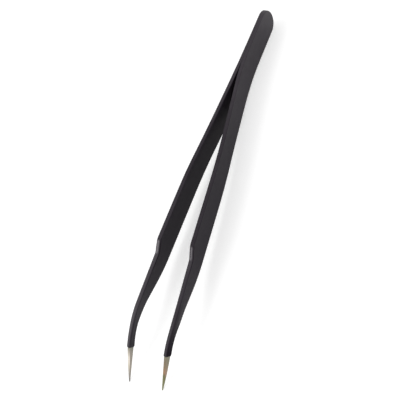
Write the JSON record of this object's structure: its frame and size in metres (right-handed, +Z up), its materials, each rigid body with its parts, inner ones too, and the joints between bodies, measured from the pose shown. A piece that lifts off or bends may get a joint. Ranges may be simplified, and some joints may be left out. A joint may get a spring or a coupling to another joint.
{
  "type": "curved tweezers",
  "caption": "Slim anti-static tweezers with flat sprung blades welded at the heel, a black coat over the grip and bare, curved, pointed tips for picking up small parts.",
  "frame": {"origin": "middle of the part's box, on the surface that the pair lies on", "axes": "+X from the welded heel to the tips, +Y across the gap towards the front blade, which is the direction the blades close in, and +Z up, away from the surface. The pair lies on its smooth edge with the notched edge up."},
  "size_m": [0.1205, 0.014, 0.0123],
  "materials": {
    "steel": "fine-ground bare stainless steel",
    "coat": "satin black static-dissipative epoxy coat"
  },
  "bodies": {
    "root": {"front_blade": "steel", "rear_blade": "steel", "black_coat": "coat"}
  },
  "joints": []
}
